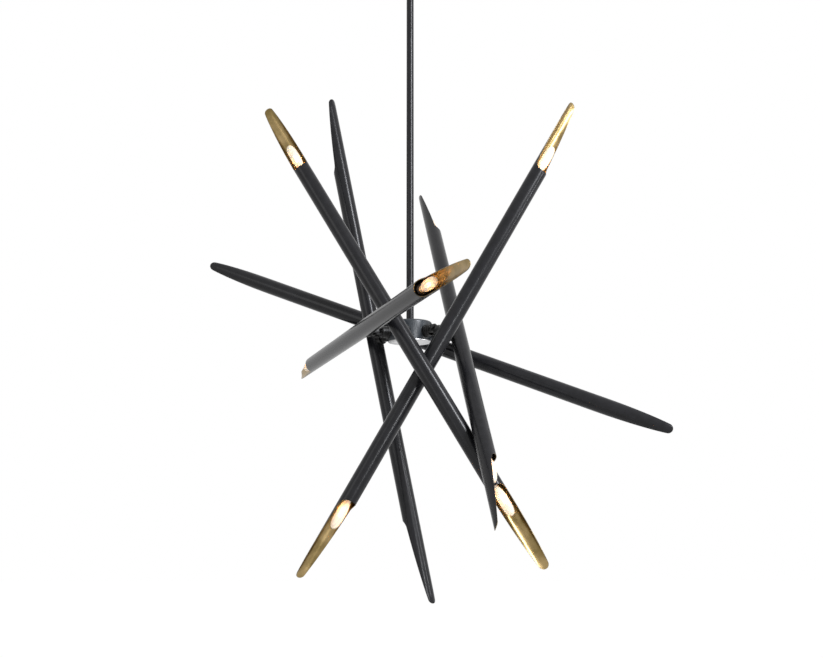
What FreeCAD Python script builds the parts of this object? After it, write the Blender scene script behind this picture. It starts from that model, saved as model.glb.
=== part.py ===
import FreeCAD, Part
import math
import os
from types import SimpleNamespace

import Sketcher
from FreeCAD import Placement, Rotation, Vector

# Sputnik chandelier, in millimetres, +Z up.
# The origin is the centre of the ceiling crossbar's top face, so everything hangs below z = 0.
# A stem rod hangs from a canopy and carries a drum hub. Six knuckles round the hub each hold one
# long tube by its side. Both ends of a tube are cut open like a quill and hold a small bulb.

doc = FreeCAD.newDocument("SputnikChandelier")
sheet = doc.addObject("Spreadsheet::Sheet", "Sizes")

# Driving sizes: alias, value, meaning.
SIZES = [
    ("hub_drop", 930, "ceiling to the level of the arms"),
    ("crossbar_width", 22, "ceiling crossbar, width"),
    ("crossbar_thickness", 2.5, "ceiling crossbar, sheet"),
    ("box_screw_spacing", 88.9, "ceiling box screws, centre to centre"),
    ("box_slot_width", 5, "slot for a ceiling box screw"),
    ("box_slot_length", 15, "slot, end to end"),
    ("box_slot_margin", 4.05, "crossbar beyond each slot"),
    ("ground_screw_diameter", 4, "ground screw thread"),
    ("ground_screw_head", 8, "ground screw head, diameter"),
    ("ground_screw_head_height", 2.4, "ground screw head, height"),
    ("ground_screw_length", 8, "ground screw below the crossbar"),
    ("ground_screw_place", 24, "ground screw, from the crossbar's middle"),
    ("nipple_diameter", 10, "hollow threaded nipples"),
    ("nipple_bore", 6.5, "wire way through the nipples"),
    ("nipple_flange_diameter", 15, "flange that carries the swivel yoke"),
    ("nipple_flange_thickness", 3, "flange, thickness"),
    ("locknut_width", 14, "locknut, across its flats"),
    ("locknut_height", 4.5, "locknut, height"),
    ("canopy_diameter", 130, "canopy, outside"),
    ("canopy_depth", 28, "canopy, ceiling to underside"),
    ("canopy_wall", 1.2, "canopy, sheet"),
    ("canopy_corner", 9, "canopy, rounded lower edge"),
    ("ring_nut_diameter", 24, "nut under the canopy"),
    ("ring_nut_height", 6, "nut under the canopy"),
    ("ring_nut_chamfer", 1.5, "nut under the canopy, lower edge"),
    ("yoke_top", 6, "hang-straight yoke, thickness above its slot"),
    ("yoke_ear", 3.5, "yoke ear, greatest thickness"),
    ("yoke_flange_gap", 0.5, "nipple's flange to a yoke ear"),
    ("tongue_top_gap", 4.6, "nipple's flange to the tongue's round end"),
    ("hang_ear_radius", 9, "round end of the ears and of the tongue"),
    ("hang_bolt_diameter", 5, "hang-straight bolt"),
    ("hang_head_diameter", 9, "hang-straight bolt head and nut"),
    ("hang_head_height", 3, "hang-straight bolt head and nut"),
    ("tongue_neck", 13, "pivot to the stem rod's top edge"),
    ("tongue_shoulder", 3, "shoulder that rests on the stem rod"),
    ("tongue_plug", 18, "plug inside the stem rod"),
    ("stem_diameter", 17.5, "stem rod, outside"),
    ("stem_wall", 1.5, "stem rod, wall"),
    ("stem_plug_length", 16, "plug at the stem rod's foot"),
    ("stem_nipple_reach", 12, "threaded nipple below the hub's top plate"),
    ("hub_diameter", 102, "hub drum, outside"),
    ("hub_rise", 27, "level of the arms to the drum's top"),
    ("hub_fall", 21.5, "level of the arms to the cover's underside"),
    ("hub_wall", 2.5, "hub drum, wall and top plate"),
    ("hub_edge", 6, "hub drum, rounded upper edge"),
    ("cover_thickness", 2, "hub's bottom cover"),
    ("cover_inset", 0.3, "cover's edge inside the drum's outside"),
    ("cover_screw_inset", 9.5, "cover screws, from the drum's inner wall"),
    ("cover_screw_diameter", 3, "cover screw, thread"),
    ("cover_screw_head", 5.6, "cover screw, countersunk head"),
    ("cover_screw_length", 8, "cover screw, length"),
    ("cover_lug_height", 9, "lug that takes a cover screw"),
    ("cover_lug_width", 9, "lug that takes a cover screw"),
    ("block_length", 30, "terminal block in the hub"),
    ("block_width", 13, "terminal block in the hub"),
    ("block_height", 11, "terminal block in the hub"),
    ("block_gap", 7.3, "terminal block's outer side to the shaft nuts"),
    ("collar_diameter", 28, "arm collar on the hub"),
    ("collar_stand", 11, "drum's wall to the collar's outer face"),
    ("collar_sleeve", 16, "collar, sleeve through the hub's wall"),
    ("sleeve_overhang", 2.5, "sleeve beyond the drum's inner wall"),
    ("fork_diameter", 27, "swivel fork, round base"),
    ("fork_base", 7, "swivel fork, base thickness"),
    ("fork_slot", 9.4, "gap between the fork's ears"),
    ("fork_ear", 4.6, "fork ear, thickness"),
    ("fork_ear_radius", 10.5, "round end of a fork ear"),
    ("fork_bore", 6, "wire way through the fork's shaft"),
    ("shaft_nut_width", 15, "nut on the fork's shaft, across its flats"),
    ("shaft_nut_height", 5, "nut on the fork's shaft"),
    ("knuckle_bolt_diameter", 6, "knuckle bolt"),
    ("knuckle_head_diameter", 11, "knuckle bolt, head"),
    ("knuckle_head_height", 3.2, "knuckle bolt, head"),
    ("knuckle_nut_width", 10, "knuckle nut, across its flats"),
    ("knuckle_nut_height", 4.2, "knuckle nut"),
    ("tongue_gap", 0.8, "fork's base to the saddle's round tongue"),
    ("saddle_boss_diameter", 26, "saddle, round boss on the tube"),
    ("saddle_boss_gap", 1.5, "fork ears to the boss"),
    ("saddle_boss_length", 7.35, "boss, inner face to the tube's wall"),
    ("saddle_bore", 5, "wire way through the saddle"),
    ("tube_length", 1263, "light tube, tip to tip"),
    ("tube_diameter", 38.1, "light tube, outside"),
    ("tube_wall", 1.5, "light tube, wall"),
    ("cut_length", 196, "quill cut, notch to tip"),
    ("cut_curve_run", 55, "quill cut, length of its curve"),
    ("blade_height", 15.5, "height left over the back where the curve ends"),
    ("tip_height", 2.6, "height left over the back at the tip"),
    ("tip_round_width", 21, "round tip, width of its arc seen from the open side"),
    ("tip_round_depth", 7.8, "round tip, length of its arc along the tube"),
    ("wire_hole_diameter", 8, "hole in a tube behind its saddle"),
    ("holder_diameter", 22, "lampholder barrel"),
    ("holder_length", 46, "lampholder, flange to mouth"),
    ("holder_flange", 4, "lampholder, centring flange"),
    ("cap_clearance", 0.5, "bulb's cap to the lampholder's bore"),
    ("holder_setback", 3, "lampholder's mouth behind the notch"),
    ("cap_diameter", 12, "bulb's screw cap"),
    ("cap_length", 22, "bulb's screw cap with its contact"),
    ("cap_contact_diameter", 5, "contact at the cap's end"),
    ("cap_contact_height", 2, "contact at the cap's end"),
    ("bulb_diameter", 23, "bulb, glass"),
    ("bulb_neck_diameter", 13, "bulb, neck of the glass"),
    ("bulb_cone", 27, "bulb, neck to full width"),
    ("bulb_length", 74, "bulb, glass only"),
    ("bulb_wall", 0.8, "bulb, glass wall"),
    ("running_clearance", 0.05, "radial clearance of a shaft that turns"),
    ("seat_gap", 0.2, "gap between faces that turn on each other"),
]

HEAD_SEAT = 1.0  # depth of the flat under a bolt head on the round yoke
WALL_ROOT = 0.5  # how far a lug runs into the wall that carries it
TONGUE_INSET = 0.5  # the tongue's round end inside the fork ears' outline
HALF_ARM_STEP = 30.0  # half the turn from one arm to the next, in degrees
QUARTER_BULGE = 0.207  # how far a quarter circle bulges, as a share of its chord
HALF_BULGE = 0.5  # how far a half circle bulges
QUILL_BULGE = 0.07  # how far the quill cut's curve bulges
PAST_END = 10.0  # how far a cut's outline runs past what it cuts

# How each tube hangs: azimuth of its arm, turn about the arm, lean of the knuckle (degrees), and
# how far the middle of the tube stands off its saddle (mm).
TUBES = [
    ("1", 15, 43.6, 4.8, 25),
    ("2", 75, 68.4, 5.0, 1),
    ("3", 135, 5.2, 11.0, 7),
    ("4", 195, 87.5, -3.5, -21),
    ("5", 255, -31.5, -2.1, 16),
    ("6", 315, 23.4, 19.2, 6),
]

TUBE_WORDS = ("azimuth", "turn", "lean", "offset")


class Size:
    """A length with its spreadsheet expression, so that one value places and binds a feature."""

    def __init__(self, text, value):
        self.text = text
        self.value = value

    def _combine(self, other, sign, turned=False):
        text = other.text if isinstance(other, Size) else repr(float(other))
        value = other.value if isinstance(other, Size) else float(other)
        first, second = (text, self.text) if turned else (self.text, text)
        a, b = (value, self.value) if turned else (self.value, value)
        results = {"+": a + b, "-": a - b, "*": a * b, "/": a / b if b else 0.0}
        return Size(f"({first} {sign} {second})", results[sign])

    def __add__(self, other):
        return self._combine(other, "+")

    __radd__ = __add__

    def __sub__(self, other):
        return self._combine(other, "-")

    def __rsub__(self, other):
        return self._combine(other, "-", turned=True)

    def __mul__(self, other):
        return self._combine(other, "*")

    __rmul__ = __mul__

    def __truediv__(self, other):
        return self._combine(other, "/")

    def __neg__(self):
        return self * -1


def fill_sheet():
    """Write the driving sizes into the sheet and return them as Size values."""
    found = SimpleNamespace()
    for row, (alias, value, note) in enumerate(SIZES, start=1):
        sheet.set(f"A{row}", note)
        sheet.set(f"B{row}", str(value))
        sheet.setAlias(f"B{row}", alias)
        setattr(found, alias, Size(f"Sizes.{alias}", float(value)))
    first_free = len(SIZES) + 1
    for row, (name, azimuth, turn, lean, offset) in enumerate(TUBES, start=first_free):
        sheet.set(f"A{row}", f"tube {name}: azimuth, turn, lean, offset")
        for column, word, value in zip("BCDE", TUBE_WORDS, (azimuth, turn, lean, offset)):
            alias = f"{word}_tube_{name}"
            sheet.set(f"{column}{row}", str(value))
            sheet.setAlias(f"{column}{row}", alias)
            setattr(found, alias, Size(f"Sizes.{alias}", float(value)))
    doc.recompute()
    return found


s = fill_sheet()
nodes = []


def as_size(value):
    return value if isinstance(value, Size) else Size(repr(float(value)), float(value))


def bind(thing, prop, value):
    """Give a property its value, or its expression where the value comes from the sheet."""
    size = as_size(value)
    if "Sizes." in size.text:
        thing.setExpression(prop, size.text)
    else:
        setattr(thing, prop, size.value)


# ---------------------------------------------------------------- sizes that follow from others


def yoke_slot():
    """Gap between the yoke's ears, which the nipple's flange passes."""
    return s.nipple_flange_diameter + s.yoke_flange_gap * 2


def yoke_diameter():
    return yoke_slot() + s.yoke_ear * 2


def hub_inside():
    """Radius of the drum's inner wall."""
    return s.hub_diameter / 2 - s.hub_wall


def collar_reach():
    """Hub axis to the outer face of a collar."""
    return s.hub_diameter / 2 + s.collar_stand


def sleeve_start():
    """Hub axis to the inner end of a collar's sleeve."""
    return hub_inside() - s.sleeve_overhang


def shaft_nut_start():
    """Hub axis to the inner face of the nut on a fork's shaft."""
    return sleeve_start() - s.seat_gap - s.shaft_nut_height


def tongue_radius():
    return s.fork_ear_radius - TONGUE_INSET


def pivot_reach():
    """Hub axis to a knuckle's pivot, where the tongue's round end clears the fork's base."""
    return collar_reach() + s.seat_gap + s.fork_base + s.tongue_gap + tongue_radius()


def boss_start():
    """Knuckle's pivot to the inner face of the saddle's boss, clear of the fork's ears."""
    return s.fork_ear_radius + s.saddle_boss_gap


def tube_reach():
    """Knuckle's pivot to the tube's axis."""
    return boss_start() + s.saddle_boss_length + s.tube_diameter / 2


# ---------------------------------------------------------------- plain solids

AXES = {
    "X": Rotation(Vector(0, 1, 0), 90),
    "Y": Rotation(Vector(1, 0, 0), -90),
    "Z": Rotation(),
}


def put(thing, start, axis="Z"):
    """Set where a solid starts and which way it points."""
    sizes = [as_size(value) for value in start]
    thing.Placement = Placement(Vector(*(size.value for size in sizes)), AXES[axis])
    for letter, size in zip("xyz", sizes):
        if "Sizes." in size.text:
            thing.setExpression(f"Placement.Base.{letter}", size.text)
    return thing


def cylinder(radius, length, start=(0, 0, 0), axis="Z"):
    made = doc.addObject("Part::Cylinder", "Cylinder")
    bind(made, "Radius", radius)
    bind(made, "Height", length)
    return put(made, start, axis)


def cone(radius_start, radius_end, length, start=(0, 0, 0), axis="Z"):
    made = doc.addObject("Part::Cone", "Cone")
    bind(made, "Radius1", radius_start)
    bind(made, "Radius2", radius_end)
    bind(made, "Height", length)
    return put(made, start, axis)


def ball(radius, start):
    made = doc.addObject("Part::Sphere", "Ball")
    bind(made, "Radius", radius)
    return put(made, start)


def box(size_x, size_y, size_z, start):
    made = doc.addObject("Part::Box", "Box")
    bind(made, "Length", size_x)
    bind(made, "Width", size_y)
    bind(made, "Height", size_z)
    return put(made, start)


def hexagon(across_flats, length, start, axis="Z"):
    made = doc.addObject("Part::Prism", "Hexagon")
    made.Polygon = 6
    bind(made, "Circumradius", across_flats / math.sqrt(3))
    bind(made, "Height", length)
    return put(made, start, axis)


def fuse(*pieces):
    made = doc.addObject("Part::MultiFuse", "Fusion")
    made.Shapes = list(pieces)
    return made


def common(first, second):
    made = doc.addObject("Part::MultiCommon", "Common")
    made.Shapes = [first, second]
    return made


def cut(base, *tools):
    made = doc.addObject("Part::Cut", "Cut")
    made.Base = base
    made.Tool = tools[0] if len(tools) == 1 else fuse(*tools)
    return made


def group(*pieces):
    made = doc.addObject("Part::Compound", "Group")
    made.Links = list(pieces)
    return made


def moved(piece, place):
    """The piece in another place, with its own bound place left as it is."""
    made = group(piece)
    made.Placement = place
    return made


def node(label, piece, place=None):
    """Name a finished piece and put it in its place."""
    piece.Label = label
    if place is not None:
        piece.Placement = place
    nodes.append(piece)
    return piece


# ---------------------------------------------------------------- sketched pieces


def new_body(name):
    return doc.addObject("PartDesign::Body", f"Body_{name}")


def new_sketch(body, role, name):
    plane = next(item for item in body.Origin.OriginFeatures if item.Role == role)
    sketch = body.newObject("Sketcher::SketchObject", name)
    sketch.AttachmentSupport = [(plane, "")]
    sketch.MapMode = "FlatFace"
    return sketch


def pin_point(sketch, edge, end, x, y):
    """Hold a sketch point at a place given by two sizes, measured from the sketch's origin."""
    for kind, value, axis in (("DistanceX", x, -2), ("DistanceY", y, -1)):
        size = as_size(value)
        if abs(size.value) < 1e-9:
            sketch.addConstraint(Sketcher.Constraint("PointOnObject", edge, end, axis))
            continue
        index = sketch.addConstraint(Sketcher.Constraint(kind, -1, 1, edge, end, size.value))
        if "Sizes." in size.text:
            sketch.setExpression(f"Constraints[{index}]", size.text)


def outline(sketch, points, arcs=None):
    """Draw a closed outline through the points.

    arcs gives some edges, by number, as arcs: a first guess of how far the arc bulges to its left,
    as a share of its chord, and its radius, or None where it runs tangent into the next edge. The
    sketcher keeps every arc counterclockwise, so one that bulges to the left is drawn backwards.
    """
    arcs = arcs or {}
    flat = [Vector(as_size(x).value, as_size(y).value, 0) for x, y in points]
    edges = []
    for number, (start, end) in enumerate(zip(flat, flat[1:] + flat[:1])):
        if number not in arcs:
            edges.append((sketch.addGeometry(Part.LineSegment(start, end), False), 1, 2))
            continue
        along = end - start
        bulge = arcs[number][0]
        middle = start + along * 0.5 + Vector(-along.y, along.x, 0) * bulge
        if bulge < 0:
            edges.append((sketch.addGeometry(Part.Arc(start, middle, end), False), 1, 2))
        else:
            edges.append((sketch.addGeometry(Part.Arc(end, middle, start), False), 2, 1))
    for number, (here, after) in enumerate(zip(edges, edges[1:] + edges[:1])):
        kind = "Tangent" if number in arcs and arcs[number][1] is None else "Coincident"
        sketch.addConstraint(Sketcher.Constraint(kind, here[0], here[2], after[0], after[1]))
    for (index, start, _), (x, y) in zip(edges, points):
        pin_point(sketch, index, start, x, y)
    for number, (_, radius) in arcs.items():
        if radius is not None:
            set_radius(sketch, edges[number][0], radius)


def set_radius(sketch, index, radius):
    limit = sketch.addConstraint(Sketcher.Constraint("Radius", index, radius.value))
    sketch.setExpression(f"Constraints[{limit}]", radius.text)


def circles(sketch, radii, x=0, y=0):
    centre = Vector(as_size(x).value, as_size(y).value, 0)
    for radius in radii:
        index = sketch.addGeometry(Part.Circle(centre, Vector(0, 0, 1), radius.value), False)
        set_radius(sketch, index, radius)
        pin_point(sketch, index, 3, x, y)


def pad(body, sketch, length, midplane=False, downward=False):
    feature = body.newObject("PartDesign::Pad", "Pad")
    feature.Profile = sketch
    bind(feature, "Length", length)
    feature.Midplane = midplane
    feature.Reversed = downward
    body.Tip = feature


def pocket(body, sketch, length=None, midplane=False):
    """Cut through everything, or as deep as the length says."""
    feature = body.newObject("PartDesign::Pocket", "Pocket")
    feature.Profile = sketch
    if length is None:
        feature.Type = "ThroughAll"
    else:
        bind(feature, "Length", length)
    feature.Midplane = midplane
    body.Tip = feature


def turned(name, points, arcs):
    """A body turned about the Z axis from an outline of (radius, height) points."""
    body = new_body(name)
    sketch = new_sketch(body, "XZ_Plane", "Section")
    outline(sketch, points, arcs)
    feature = body.newObject("PartDesign::Revolution", "Revolution")
    feature.Profile = sketch
    feature.ReferenceAxis = (sketch, ["V_Axis"])
    feature.Angle = 360
    body.Tip = feature
    return body


# ---------------------------------------------------------------- places

X_AXIS, Y_AXIS, Z_AXIS = Vector(1, 0, 0), Vector(0, 1, 0), Vector(0, 0, 1)


def spin(axis, degrees):
    return Placement(Vector(0, 0, 0), Rotation(axis, degrees))


def shift(x=0.0, z=0.0):
    return Placement(Vector(x, 0, z), Rotation())


def arm_place(azimuth):
    """Frame of an arm: origin on the hub's axis, X outward along the arm, Z up."""
    return shift(z=-s.hub_drop.value) * spin(Z_AXIS, azimuth)


def fork_place(azimuth, turn):
    """The arm's frame turned about the arm, so that Z points along an unleaning tube."""
    return arm_place(azimuth) * spin(X_AXIS, -turn)


def saddle_place(azimuth, turn, lean):
    """The fork's frame moved to the knuckle's pivot and leaned with the tube."""
    return fork_place(azimuth, turn) * shift(x=pivot_reach().value) * spin(Y_AXIS, lean)


def tube_place(azimuth, turn, lean, offset):
    """Frame of a tube: origin in its middle, Z along it, X out of its open side."""
    return saddle_place(azimuth, turn, lean) * shift(x=tube_reach().value, z=offset)


# ---------------------------------------------------------------- ceiling fitting


def make_crossbar():
    """Sheet crossbar that screws to the ceiling box, with two slots and a threaded middle hole."""
    body = new_body("crossbar")
    sketch = new_sketch(body, "XY_Plane", "Strip")
    half_x = s.box_screw_spacing / 2 + s.box_slot_length / 2 + s.box_slot_margin
    half_y = s.crossbar_width / 2
    outline(sketch, [(-half_x, -half_y), (half_x, -half_y), (half_x, half_y), (-half_x, half_y)])
    circles(sketch, [s.nipple_diameter / 2])
    circles(sketch, [s.ground_screw_diameter / 2], x=s.ground_screw_place)
    pad(body, sketch, s.crossbar_thickness, downward=True)

    slots = new_sketch(body, "XY_Plane", "Slots")
    radius = s.box_slot_width / 2
    half_slot = s.box_slot_length / 2 - radius
    for side in (-1, 1):
        middle = s.box_screw_spacing / 2 * side
        left = middle - half_slot
        right = middle + half_slot
        corners = [(left, -radius), (right, -radius), (right, radius), (left, radius)]
        outline(slots, corners, arcs={1: (-HALF_BULGE, None), 3: (-HALF_BULGE, None)})
    pocket(body, slots)
    node("ceiling_crossbar", body)


def make_ceiling_fitting():
    """Crossbar, screws, nipple and canopy; returns how far the canopy's nut and nipple reach down."""
    make_crossbar()
    bar = s.crossbar_thickness

    head = s.ground_screw_head_height
    length = s.ground_screw_length
    screw_at = s.ground_screw_place
    screw = fuse(
        cylinder(s.ground_screw_diameter / 2, length + bar, (screw_at, 0, -bar - length)),
        cylinder(s.ground_screw_head / 2, head, (screw_at, 0, -bar - head)),
    )
    node("ground_screw", screw)

    under_nut = s.canopy_depth + s.ring_nut_height
    flange_top = under_nut + s.yoke_top + s.seat_gap * 2
    nipple_end = flange_top + s.nipple_flange_thickness
    nipple = cut(
        fuse(
            cylinder(s.nipple_diameter / 2, nipple_end, (0, 0, -nipple_end)),
            cylinder(s.nipple_flange_diameter / 2, s.nipple_flange_thickness, (0, 0, -nipple_end)),
        ),
        cylinder(s.nipple_bore / 2, nipple_end, (0, 0, -nipple_end)),
    )
    node("canopy_nipple", nipple)
    node("crossbar_locknut", locknut(bar))

    outer = s.canopy_diameter / 2
    wall = s.canopy_wall
    corner = s.canopy_corner
    depth = s.canopy_depth
    hole = s.nipple_diameter / 2 + s.seat_gap
    canopy = turned(
        "canopy",
        [
            (hole, -depth),
            (outer - corner, -depth),
            (outer, -depth + corner),
            (outer, 0),
            (outer - wall, 0),
            (outer - wall, -depth + corner),
            (outer - corner, -depth + wall),
            (hole, -depth + wall),
        ],
        arcs={1: (-QUARTER_BULGE, corner), 5: (QUARTER_BULGE, corner - wall)},
    )
    node("canopy", canopy)

    chamfer = s.ring_nut_chamfer
    full = s.ring_nut_diameter / 2
    ring = cut(
        fuse(
            cylinder(full, s.ring_nut_height - chamfer, (0, 0, -under_nut + chamfer)),
            cone(full - chamfer, full, chamfer, (0, 0, -under_nut)),
        ),
        cylinder(s.nipple_diameter / 2, s.ring_nut_height, (0, 0, -under_nut)),
    )
    node("canopy_ring_nut", ring)
    return under_nut, nipple_end


def locknut(top):
    """Hexagon nut on a hollow nipple, its upper face that far below the ceiling."""
    start = (0, 0, -top - s.locknut_height)
    return cut(
        hexagon(s.locknut_width, s.locknut_height, start),
        cylinder(s.nipple_diameter / 2, s.locknut_height, start),
    )


def make_hang_swivel(under_nut, pivot):
    """Yoke that turns on the nipple, and the bolt on which the stem hangs plumb."""
    top = under_nut + s.seat_gap
    slot_top = top + s.yoke_top
    slot = yoke_slot()
    full = yoke_diameter()
    half = full / 2
    ear = s.hang_ear_radius
    bolt_radius = s.hang_bolt_diameter / 2
    ear_face = half - HEAD_SEAT
    seat_radius = s.hang_head_diameter / 2 + s.seat_gap
    side_view = fuse(
        box(full, full, pivot - top, (-half, -half, -pivot)),
        cylinder(ear, full, (0, -half, -pivot), "Y"),
    )
    yoke = cut(
        common(cylinder(half, pivot + ear - top, (0, 0, -pivot - ear)), side_view),
        box(full, slot, pivot, (-half, -slot / 2, -slot_top - pivot)),
        cylinder(s.nipple_diameter / 2 + s.running_clearance, s.yoke_top, (0, 0, -slot_top)),
        cylinder(bolt_radius, full, (0, -half, -pivot), "Y"),
        cylinder(seat_radius, HEAD_SEAT, (0, ear_face, -pivot), "Y"),
        cylinder(seat_radius, HEAD_SEAT, (0, -half, -pivot), "Y"),
    )
    node("hang_swivel_yoke", yoke)

    head = s.hang_head_height
    head_radius = s.hang_head_diameter / 2
    bolt = fuse(
        cylinder(bolt_radius, ear_face * 2, (0, -ear_face, -pivot), "Y"),
        cylinder(head_radius, head, (0, ear_face, -pivot), "Y"),
        cylinder(head_radius, head, (0, -ear_face - head, -pivot), "Y"),
    )
    node("hang_pivot_bolt", bolt)


# ---------------------------------------------------------------- stem and hub


def make_stem(pivot, hub_top):
    """Tongue, stem rod, the threaded foot that holds the hub, and its nut."""
    ear = s.hang_ear_radius
    thick = yoke_slot() - s.seat_gap * 2
    rod_top = pivot + s.tongue_neck
    shoulder = rod_top - s.tongue_shoulder
    rod_radius = s.stem_diameter / 2
    inner = rod_radius - s.stem_wall
    pin_hole = s.hang_bolt_diameter / 2 + s.running_clearance
    side_view = fuse(
        cylinder(ear, thick, (0, -thick / 2, -pivot), "Y"),
        box(ear * 2, thick, shoulder - pivot, (-ear, -thick / 2, -shoulder)),
    )
    blade = common(cylinder(yoke_diameter() / 2, shoulder - pivot + ear, (0, 0, -shoulder)), side_view)
    tongue = cut(
        fuse(
            blade,
            cylinder(rod_radius, s.tongue_shoulder, (0, 0, -rod_top)),
            cylinder(inner, s.tongue_plug, (0, 0, -rod_top - s.tongue_plug)),
        ),
        cylinder(pin_hole, thick, (0, -thick / 2, -pivot), "Y"),
    )
    node("stem_tongue", tongue)

    length = hub_top - rod_top
    rod = cut(
        cylinder(rod_radius, length, (0, 0, -hub_top)),
        cylinder(inner, length, (0, 0, -hub_top)),
    )
    node("stem_rod", rod)

    plug = s.stem_plug_length
    reach = s.stem_nipple_reach
    foot = cut(
        fuse(
            cylinder(inner, plug, (0, 0, -hub_top)),
            cylinder(s.nipple_diameter / 2, reach, (0, 0, -hub_top - reach)),
        ),
        cylinder(s.nipple_bore / 2, plug + reach, (0, 0, -hub_top - reach)),
    )
    node("stem_foot_nipple", foot)
    node("stem_locknut", locknut(hub_top + s.hub_wall))


def cover_screw_ring():
    """Hub axis to a cover screw."""
    return hub_inside() - s.cover_screw_inset


def cover_screw_places():
    """Turns about the hub's axis that stand the cover screws between the arms."""
    return [spin(Z_AXIS, TUBES[number][1] + HALF_ARM_STEP) for number in (0, 2, 4)]


def make_hub(hub_top):
    """Drum open at the bottom, with lugs inside for the screws of its cover."""
    outer = s.hub_diameter / 2
    inside = hub_inside()
    wall = s.hub_wall
    edge = s.hub_edge
    cover_under = s.hub_drop + s.hub_fall
    bottom = cover_under - s.cover_thickness
    nipple = s.nipple_diameter / 2
    drum = turned(
        "hub",
        [
            (nipple, -hub_top),
            (outer - edge, -hub_top),
            (outer, -hub_top - edge),
            (outer, -bottom),
            (inside, -bottom),
            (inside, -hub_top - edge),
            (outer - edge, -hub_top - wall),
            (nipple, -hub_top - wall),
        ],
        arcs={1: (QUARTER_BULGE, edge), 5: (-QUARTER_BULGE, edge - wall)},
    )
    sleeve = s.collar_sleeve / 2
    hole_start = (sleeve_start(), 0, 0)
    holes = [
        moved(cylinder(sleeve, collar_reach(), hole_start, "X"), arm_place(azimuth))
        for _, azimuth, *_ in TUBES
    ]
    ring = cover_screw_ring()
    half_lug = s.cover_lug_width / 2
    lug_inner = ring - half_lug
    lug_depth = inside + WALL_ROOT - lug_inner
    thread = s.cover_screw_diameter / 2
    lugs = [
        moved(
            cut(
                box(lug_depth, half_lug * 2, s.cover_lug_height, (lug_inner, -half_lug, -bottom)),
                cylinder(thread, s.cover_lug_height, (ring, 0, -bottom)),
            ),
            place,
        )
        for place in cover_screw_places()
    ]
    node("hub_shell", cut(fuse(drum, *lugs), *holes))
    make_hub_cover(cover_under, outer - s.cover_inset)

    under_plate = hub_top + wall
    block_y = shaft_nut_start() - s.block_gap - s.block_width
    block_z = -under_plate - s.block_height
    block = box(s.block_length, s.block_width, s.block_height, (-s.block_length / 2, block_y, block_z))
    node("hub_terminal_block", block)


def cover_screw(cover_under):
    """Countersunk screw, its head flush with the cover's lower face."""
    thread = s.cover_screw_diameter / 2
    head = s.cover_screw_head / 2
    start = (cover_screw_ring(), 0, -cover_under)
    return fuse(cone(head, thread, head - thread, start), cylinder(thread, s.cover_screw_length, start))


def make_hub_cover(cover_under, radius):
    sinks = [moved(cover_screw(cover_under), place) for place in cover_screw_places()]
    cover = cut(cylinder(radius, s.cover_thickness, (0, 0, -cover_under)), *sinks)
    node("hub_cover", cover)
    screws = [moved(cover_screw(cover_under), place) for place in cover_screw_places()]
    node("hub_cover_screws", group(*screws))


def make_collars():
    """One collar for each arm: a round flange that fits the drum, and a sleeve through its wall."""
    drum_radius = s.hub_diameter / 2
    flange = s.collar_diameter / 2
    flange_start = drum_radius - PAST_END
    reach = collar_reach()
    inner_end = (sleeve_start(), 0, 0)
    sleeve_length = reach - sleeve_start()
    collars = []
    for _, azimuth, *_ in TUBES:
        solid = fuse(
            cut(
                cylinder(flange, reach - flange_start, (flange_start, 0, 0), "X"),
                cylinder(drum_radius, s.collar_diameter, (0, 0, -flange)),
            ),
            cylinder(s.collar_sleeve / 2, sleeve_length, inner_end, "X"),
        )
        bore = cylinder(s.nipple_diameter / 2 + s.running_clearance, sleeve_length, inner_end, "X")
        collars.append(moved(cut(solid, bore), arm_place(azimuth)))
    node("arm_collars", group(*collars))


# ---------------------------------------------------------------- knuckles


def make_fork(name, azimuth, turn):
    """Fork whose hollow shaft turns in its collar."""
    start = collar_reach() + s.seat_gap
    ear_start = start + s.fork_base
    shaft_end = shaft_nut_start()
    slot = s.fork_slot
    face = slot / 2 + s.fork_ear
    pivot = pivot_reach()
    ear = s.fork_ear_radius
    round_base = s.fork_diameter / 2
    side_view = fuse(
        cylinder(round_base, s.fork_base, (start, 0, 0), "X"),
        box(pivot - start, face * 2, ear * 2, (start, -face, -ear)),
        cylinder(ear, face * 2, (pivot, -face, 0), "Y"),
    )
    head = common(cylinder(round_base, pivot + ear - start, (start, 0, 0), "X"), side_view)
    fork = cut(
        fuse(head, cylinder(s.nipple_diameter / 2, start - shaft_end, (shaft_end, 0, 0), "X")),
        box(pivot, slot, round_base * 2, (ear_start, -slot / 2, -round_base)),
        cylinder(s.fork_bore / 2, pivot, (shaft_end, 0, 0), "X"),
        cylinder(s.knuckle_bolt_diameter / 2, face * 2, (pivot, -face, 0), "Y"),
    )
    node(f"swivel_fork_{name}", fork, fork_place(azimuth, turn))


def make_knuckle_fasteners(name, azimuth, turn):
    """Nut on the fork's shaft inside the hub, and the knuckle bolt with its nut."""
    nut_start = (shaft_nut_start(), 0, 0)
    shaft_nut = cut(
        hexagon(s.shaft_nut_width, s.shaft_nut_height, nut_start, "X"),
        cylinder(s.nipple_diameter / 2, s.shaft_nut_height, nut_start, "X"),
    )
    face = s.fork_slot / 2 + s.fork_ear
    pivot = pivot_reach()
    radius = s.knuckle_bolt_diameter / 2
    nut_height = s.knuckle_nut_height
    bolt_start = (pivot, -face - nut_height, 0)
    bolt = fuse(
        cylinder(radius, face * 2 + nut_height, bolt_start, "Y"),
        cylinder(s.knuckle_head_diameter / 2, s.knuckle_head_height, (pivot, face, 0), "Y"),
    )
    bolt_nut = cut(
        hexagon(s.knuckle_nut_width, nut_height, bolt_start, "Y"),
        cylinder(radius, nut_height, bolt_start, "Y"),
    )
    node(f"knuckle_fasteners_{name}", group(shaft_nut, bolt, bolt_nut), fork_place(azimuth, turn))


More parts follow.
